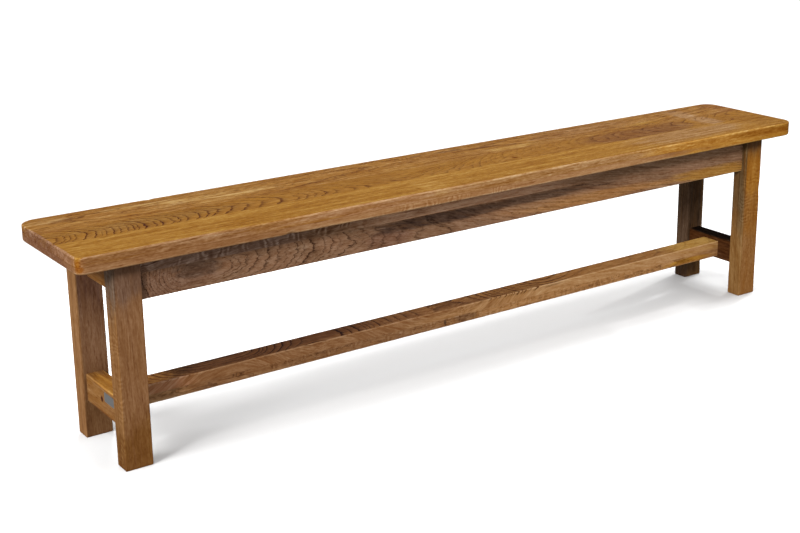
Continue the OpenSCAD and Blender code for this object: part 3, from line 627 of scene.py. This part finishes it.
# ---- Centre stretcher -------------------------------------------------------------------
# The long stretcher between the two end ones, of two staves glued flat on each other: the
# upper one dark at its left, golden at its right, the lower one curly.
CENTRE_STRETCHER_MIDDLE, CENTRE_STRETCHER_HALF = (0.0, 0.10475), (0.02575, 0.02025)
centre_looks = {
    "upper": oak(
        "flat_sawn_oak_centre_stretcher_upper", "#7E5430", "#6C4628", "#6A4630",
        [(-1, 0.028, -0.06), (-0.8, 0.028, 0.03), (-0.6, 0.028, 0.119), (-0.42, 0.02, 0.04),
         (-0.32, 0.0, 0.03), (-0.2, 0.0, -0.03), (-0.05, 0.0, -0.07), (0.04, 0.02, -0.06),
         (0.27, 0.03, 0.078), (0.38, 0.03, 0.06), (0.85, 0.02, -0.02)],
        ring=8.0, bend=5.0, seed=41, rings=0.3,
        bold=[
            ((-0.48, 0.01, 0.125), (0.62, 0.08, 0.012), 1.1),
            ((0.17, 0.0, 0.125), (0.2, 0.08, 0.012), 2.4),
            ((0.0, -0.02575, 0.105), (2.2, 0.006, 0.05), -0.9)],
        stains_and_painted_light=[
            ((-0.46, 0.01, 0.125), (0.42, 0.06, 0.012), "#55331B", 0.9),
            ((-0.785, 0.0, 0.125), (0.1, 0.08, 0.012), "#B2783A", 0.95),
            ((0.42, 0.0, 0.125), (0.75, 0.08, 0.03), "#8E6132", 0.95),
            ((0.77, 0.0, 0.125), (0.18, 0.08, 0.03), "#AC8444", 0.95),
            ((-0.45, -0.02575, 0.11), (0.9, 0.006, 0.05), "#7A5638", 0.95),
            # Lighter at the left end of the front face: painted light that offsets the front left leg's shadow.
            ((-0.765, -0.02575, 0.11), (0.12, 0.01, 0.05), "#94684A", 1.0),
            ((0.48, -0.02575, 0.11), (0.8, 0.006, 0.05), "#987149", 1.0)],
        knots=[((-0.07, 0.006, 0.125), 0.005, 5.0)]),
    "lower": oak(
        "curly_oak_centre_stretcher_lower", "#7C5839", "#714F34", "#6E4C36",
        [(-1, -0.1, 0.094), (0, -0.09, 0.094), (1, -0.1, 0.094)], ring=2.4, seed=44, rings=0.7,
        curl=[(17.0, 1.6, 0.12, (0.0, -0.026, 0.094), (0.75, 0.05, 0.03))],
        stains_and_painted_light=[
            ((0.5, -0.02, 0.095), (0.8, 0.08, 0.05), "#986F46", 1.0),
            # Lighter at the left end of the front face: painted light that offsets the front left leg's shadow.
            ((-0.765, -0.02575, 0.09), (0.12, 0.01, 0.05), "#9A7450", 0.95),
            ((0.72, -0.026, 0.093), (0.12, 0.02, 0.012), "#94661F", 0.9),
            ((-0.057, -0.026, 0.096), (0.006, 0.01, 0.012), "#3E2C20", 0.8),
            ((0.0, -0.026, 0.096), (0.05, 0.01, 0.014), "#5E422E", 0.7)],
        knots=[((-0.016, -0.026, 0.1015), 0.004, 4.0)]),
}
for stave, look in centre_looks.items():
    node = f"centre_stretcher_{stave}_stave"
    corner_of = bar_corner(0, CENTRE_STRETCHER_MIDDLE, CENTRE_STRETCHER_HALF)
    finish_piece(worn_copy(node, 0, LONG_STEP, corner_of, STRETCHER_ARRIS, STRETCHER_WEAR), look,
                 "oak_stretchers", node)


# ---- Seat buttons -----------------------------------------------------------------------
# Eight small blocks of oak with a tongue that hooks into a slot in the rails, so that the
# seat can swell and shrink. Sawn and planed, all alike, their edges eased with sandpaper.
BUTTON_EASE = 0.0006
RAIL_FACES = {"Long rail face": 0.082, "End rail face": 0.829}
BUTTON_SPACING = 0.4917
button_nodes = [f"{side}_{place}_button" for side in ("front", "back") for place in ("left", "middle", "right")]
button_nodes += ["left_end_button", "right_end_button"]


def build_round_rails():
    """Sets a fitting, drawn for a rail whose inner face is y = 0, at its eight places round the rails."""
    tree, given = new_group("round_the_rails", "GeometryNodeTree", (
        ("Fitting", "Object"), ("Finish", "Material"), ("Spacing", "Float"), ("Long rail face", "Float"),
        ("End rail face", "Float")), [("Geometry", "Geometry")])
    put = partial(add, tree)
    rows = []
    for sign in (-1, 1):
        start_x = put("ShaderNodeMath", (given["Spacing"], -1.0), operation="MULTIPLY")
        start_y = put("ShaderNodeMath", (given["Long rail face"], sign), operation="MULTIPLY")
        start = put("ShaderNodeCombineXYZ", (start_x, start_y))
        step = put("ShaderNodeCombineXYZ", (given["Spacing"],))
        rows.append(put("GeometryNodeMeshLine", {"Count": 3, "Start Location": start, "Offset": step}))
    start_x = put("ShaderNodeMath", (given["End rail face"], -1.0), operation="MULTIPLY")
    start = put("ShaderNodeCombineXYZ", (start_x,))
    step_x = put("ShaderNodeMath", (given["End rail face"], 2.0), operation="MULTIPLY")
    step = put("ShaderNodeCombineXYZ", (step_x,))
    rows.append(put("GeometryNodeMeshLine", {"Count": 2, "Start Location": start, "Offset": step}))
    places = tree.nodes.new("GeometryNodeJoinGeometry")
    for row in rows:
        tree.links.new(row, places.inputs[0])
    spot = put("GeometryNodeInputPosition")
    apart = put("ShaderNodeSeparateXYZ", (spot,)).node.outputs
    far = put("ShaderNodeMath", (apart["Y"],), operation="ABSOLUTE")
    on_long = put("ShaderNodeMath", (far, 0.001), operation="GREATER_THAN")
    behind = put("ShaderNodeMath", (apart["Y"], 0.001), operation="GREATER_THAN")
    at_right = put("ShaderNodeMath", (apart["X"], 0.001), operation="GREATER_THAN")
    long_turn = put("ShaderNodeMath", (behind, math.pi), operation="MULTIPLY")
    end_turn = put("ShaderNodeMath", (at_right, math.pi, -math.pi / 2), operation="MULTIPLY_ADD")
    turn = put("GeometryNodeSwitch", {"Switch": on_long, "False": end_turn, "True": long_turn}, input_type="FLOAT")
    drawn = put("GeometryNodeObjectInfo", {"Object": given["Fitting"]}, out="Geometry")
    turned = put("ShaderNodeCombineXYZ", (0, 0, turn))
    set_out = {"Points": places.outputs[0], "Instance": drawn, "Rotation": turned}
    set_out = put("GeometryNodeInstanceOnPoints", set_out)
    whole = put("GeometryNodeRealizeInstances", (set_out,))
    done = put("GeometryNodeSetMaterial", {"Geometry": whole, "Material": given["Finish"]})
    put("NodeGroupOutput", (done,))
    return tree


round_rails = build_round_rails()


def set_round_rails(name, fitting_mesh, material):
    """Bakes the fittings round the rails into one plain mesh."""
    fitting = bpy.data.objects.new(name + "_one", fitting_mesh)
    piece = bpy.data.objects.new(name, bpy.data.meshes.new(name))
    bpy.context.scene.collection.objects.link(fitting)
    bpy.context.scene.collection.objects.link(piece)
    modifier = piece.modifiers.new("set_out", "NODES")
    modifier.node_group = round_rails
    values = {"Fitting": fitting, "Finish": material, "Spacing": BUTTON_SPACING, **RAIL_FACES}
    for item in round_rails.interface.items_tree:
        if item.in_out == "INPUT":
            modifier[item.identifier] = values[item.name]
    graph = bpy.context.evaluated_depsgraph_get()
    baked = bpy.data.meshes.new_from_object(piece.evaluated_get(graph))
    piece.modifiers.remove(modifier)
    piece.data = baked
    bpy.data.objects.remove(fitting)
    return piece


button_bm = bmesh.new()
button_bm.from_mesh(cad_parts["front_middle_button"].data)
bmesh.ops.remove_doubles(button_bm, verts=button_bm.verts, dist=1e-6)
bmesh.ops.dissolve_limit(button_bm, angle_limit=0.02, verts=button_bm.verts, edges=button_bm.edges)
bmesh.ops.translate(button_bm, vec=(0, RAIL_FACES["Long rail face"], 0), verts=button_bm.verts)
# Only the block's own edges are eased: those round the screw's hole are shorter.
outer_edges = [line for line in button_bm.edges if line.is_convex and line.calc_face_angle(0) > 1.2
               and line.calc_length() > 0.0055]
bmesh.ops.bevel(button_bm, geom=outer_edges, offset=BUTTON_EASE, segments=2, profile=0.5, affect="EDGES",
                clamp_overlap=True)
place_layer = button_bm.verts.layers.float_vector.new("place_in_piece")
for vert in button_bm.verts:
    vert[place_layer] = vert.co
button_mesh = bpy.data.meshes.new("button")
button_bm.to_mesh(button_mesh)
button_bm.free()
button_look = oak("planed_oak_buttons", "#8E6A42", "#80603E", "#A98465", [(-1, 0.03, 0.36), (1, 0.03, 0.36)],
                  grain="YXZ", ring=2.2, seed=50, rings=0.5, own_place=True)
finish_piece(set_round_rails("seat_buttons", button_mesh, button_look), button_look, "oak_buttons", *button_nodes)


# ---- Button screws ----------------------------------------------------------------------
# Countersunk wood screws, 4 by 28 mm, driven up through each button into the seat's lower
# layer. Steel, rolled thread, zinc plated, with a cross recess in the head.
SCREW_HEAD_LEVEL = 0.401
SCREW_FROM_RAIL = 0.018
SCREW_SIDES, SHANK = 24, 0.0019
# Height above the head's face, and radius there.
SCREW_PROFILE = ((0.0, 0.0038), (0.0003, 0.004), (0.004, SHANK), (0.022, SHANK), (0.028, 0.0002))
THREAD_PITCH, THREAD_DEPTH = 0.0018, 0.0006
THREAD_FROM, THREAD_TO = 0.007, 0.0275
# Depth of the cross recess, half the width of its arms there, and their length.
RECESS = ((0.0, 0.00055, 0.0022), (0.0018, 0.0003, 0.001))


def draw_screw():
    """One screw with its point up: a turned form, the thread wound round it, and a tapered cross recess."""
    bm = bmesh.new()
    heights = [0.0, 0.0003, 0.004] + list(np.arange(THREAD_FROM, THREAD_TO, THREAD_PITCH / 4)) + [0.0279]
    rows = []
    for height in heights:
        across = float(np.interp(height, [p[0] for p in SCREW_PROFILE], [p[1] for p in SCREW_PROFILE]))
        row = []
        for i in range(SCREW_SIDES):
            angle = 2 * math.pi * i / SCREW_SIDES
            reach = across
            if THREAD_FROM < height < THREAD_TO:
                phase = (height / THREAD_PITCH - i / SCREW_SIDES) % 1.0
                reach -= THREAD_DEPTH * abs(2 * phase - 1) * min(across / SHANK, 1.0)
            row.append(bm.verts.new((reach * math.cos(angle), reach * math.sin(angle), height)))
        rows.append(row)
    for low, high in zip(rows, rows[1:]):
        for i in range(SCREW_SIDES):
            bm.faces.new((low[i], low[(i + 1) % SCREW_SIDES], high[(i + 1) % SCREW_SIDES], high[i]))
    bm.faces.new(rows[-1])
    crosses = []
    for depth, half, arm in RECESS:
        outline = [(arm, -half), (arm, half), (half, half), (half, arm), (-half, arm), (-half, half), (-arm, half),
                   (-arm, -half), (-half, -half), (-half, -arm), (half, -arm), (half, -half)]
        crosses.append([bm.verts.new((x, y, depth)) for x, y in outline])
    for i in range(12):
        bm.faces.new((crosses[0][i], crosses[0][(i + 1) % 12], crosses[1][(i + 1) % 12], crosses[1][i]))
    bm.faces.new(crosses[1])
    rims = [bm.edges.get((row[i], row[(i + 1) % len(row)]))
            for row in (rows[0], crosses[0]) for i in range(len(row))]
    bmesh.ops.triangle_fill(bm, edges=rims, use_beauty=True)
    bmesh.ops.recalc_face_normals(bm, faces=bm.faces)
    bmesh.ops.translate(bm, vec=(0, SCREW_FROM_RAIL, SCREW_HEAD_LEVEL), verts=bm.verts)
    mesh = bpy.data.meshes.new("screw")
    bm.to_mesh(mesh)
    bm.free()
    return mesh


def metal(name, dark, light, cells, detail, smooth, dull, relief=0.0):
    """Metal whose colour and gloss follow one fine noise. Its cells measure 1 / cells in m."""
    material, put = new_material(name)
    tree = material.node_tree
    shader = tree.nodes["Principled BSDF"]
    place = put("ShaderNodeTexCoord", out="Object")
    place = put("ShaderNodeVectorMath", (place, cells), operation="MULTIPLY")
    cloud = put("ShaderNodeTexNoise", {"Vector": place, "Scale": 1.0, "Detail": detail})
    colour = put("ShaderNodeMix", {0: cloud, 6: linear(dark), 7: linear(light)}, out=2, data_type="RGBA")
    gloss = put("ShaderNodeMapRange", {"Value": cloud, "To Min": smooth, "To Max": dull})
    tree.links.new(colour, shader.inputs["Base Color"])
    tree.links.new(gloss, shader.inputs["Roughness"])
    if relief:
        lines = put("ShaderNodeBump", {"Height": cloud, "Distance": relief, "Strength": 0.4})
        tree.links.new(lines, shader.inputs["Normal"])
    shader.inputs["Metallic"].default_value = 1.0
    return material


# Zinc on steel: pale bluish grey, bright but softly spread by the plating's fine crystals.
zinc = metal("zinc_plated_steel", "#9A9FA6", "#C9CDD2", (900.0,) * 3, 3.0, 0.28, 0.45)
finish_piece(set_round_rails("screws", draw_screw(), zinc), zinc, "screw_steel", "button_screws")


# ---- Metal plate ------------------------------------------------------------------------
# A thin bare plate glued on the outer face of the left end stretcher, of brushed steel. The
# brush lines run along it and spread its reflections into soft streaks.
plate_look = metal("brushed_steel_plate", "#8F8F90", "#A5A3A1", (500.0, 60.0, 3500.0), 2.0, 0.3, 0.5, 0.00005)
plate_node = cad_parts["metal_plate"]
plate_node.data.materials.clear()
plate_node.data.materials.append(plate_look)


# ---- Floor and light --------------------------------------------------------------------
# A sweep of pale paper under a soft white sky. A broad key lamp at the front left lights the
# bench alone. An overhead lamp and softboxes round the bench light only the paper: it burns out
# to white but for the soft shadow along the bench and the streaks that its feet throw inwards.
FLOOR_HALF = 60.0
floor_mesh = bpy.data.meshes.new("floor")
floor_mesh.from_pydata([(x * FLOOR_HALF, y * FLOOR_HALF, 0) for x, y in ((-1, -1), (1, -1), (1, 1), (-1, 1))],
                       [], [(0, 1, 2, 3)])
floor = bpy.data.objects.new("floor", floor_mesh)
bpy.context.scene.collection.objects.link(floor)
# Matt paper without any gloss: it shows nothing but the light and the bench's shadow.
floor_look = new_material("pale_studio_paper")[0]
floor_shader = floor_look.node_tree.nodes["Principled BSDF"]
floor_shader.inputs["Base Color"].default_value = (0.6, 0.6, 0.6, 1)
floor_shader.inputs["Roughness"].default_value = 1.0
floor_shader.inputs["Specular IOR Level"].default_value = 0.0
floor_mesh.materials.append(floor_look)
floor.visible_diffuse = False
floor.visible_glossy = False

world = bpy.data.worlds.new("studio")
bpy.context.scene.world = world
world.use_nodes = True
sky = world.node_tree
level = add(sky, "ShaderNodeSeparateXYZ", (add(sky, "ShaderNodeTexCoord", out="Generated"),)).node.outputs["Z"]
level = {"Value": level, "From Min": -0.02, "From Max": 0.02, "To Min": 0.4, "To Max": 0.90}
sky.links.new(add(sky, "ShaderNodeMapRange", level), sky.nodes["Background"].inputs["Color"])

paper_only, bench_only = bpy.data.collections.new("paper_only"), bpy.data.collections.new("bench_only")
paper_only.objects.link(floor)
bench_only.objects.link(floor)
bench_only.collection_objects[0].light_linking.link_state = "EXCLUDE"


def hang_lamp(name, kind, place, energy, lights, **settings):
    """Hangs a lamp that faces the bench and lights only what a collection names."""
    lamp = bpy.data.lights.new(name, kind)
    lamp.energy = energy
    for setting, value in settings.items():
        setattr(lamp, setting, value)
    holder = bpy.data.objects.new(name, lamp)
    holder.location = place
    holder.rotation_euler = (Vector((0, 0, 0.2)) - Vector(place)).to_track_quat("-Z", "Y").to_euler()
    holder.light_linking.receiver_collection = lights
    holder.visible_camera = False
    bpy.context.scene.collection.objects.link(holder)


hang_lamp("key_lamp", "SUN", (-4.44, -3.54, 3.2), 3.3, bench_only, angle=math.radians(11))
hang_lamp("overhead_lamp", "SUN", (0, 0, 5), 2.6, paper_only, angle=math.radians(15))
for place, size, energy in (
        ((0.41, -0.65, 0.27), 0.47, 5.0), ((-0.39, 1.0, 0.57), 0.24, 11.6), ((-1.63, -0.45, 1.74), 0.13, 10.9),
        ((-3.78, -0.65, 2.37), 1.0, 63.4), ((-2.16, -0.22, 0.58), 1.0, 30.3), ((3.01, 0.63, 1.94), 0.1, 26.4),
        ((2.34, 0.49, 1.93), 0.13, 7.8), ((1.14, 0.1, 0.81), 0.56, 6.6)):
    hang_lamp("floor_softbox", "AREA", place, energy, paper_only, shape="SQUARE", size=size)
bpy.context.scene.view_settings.view_transform = "Standard"
bpy.context.scene.view_settings.look = "None"
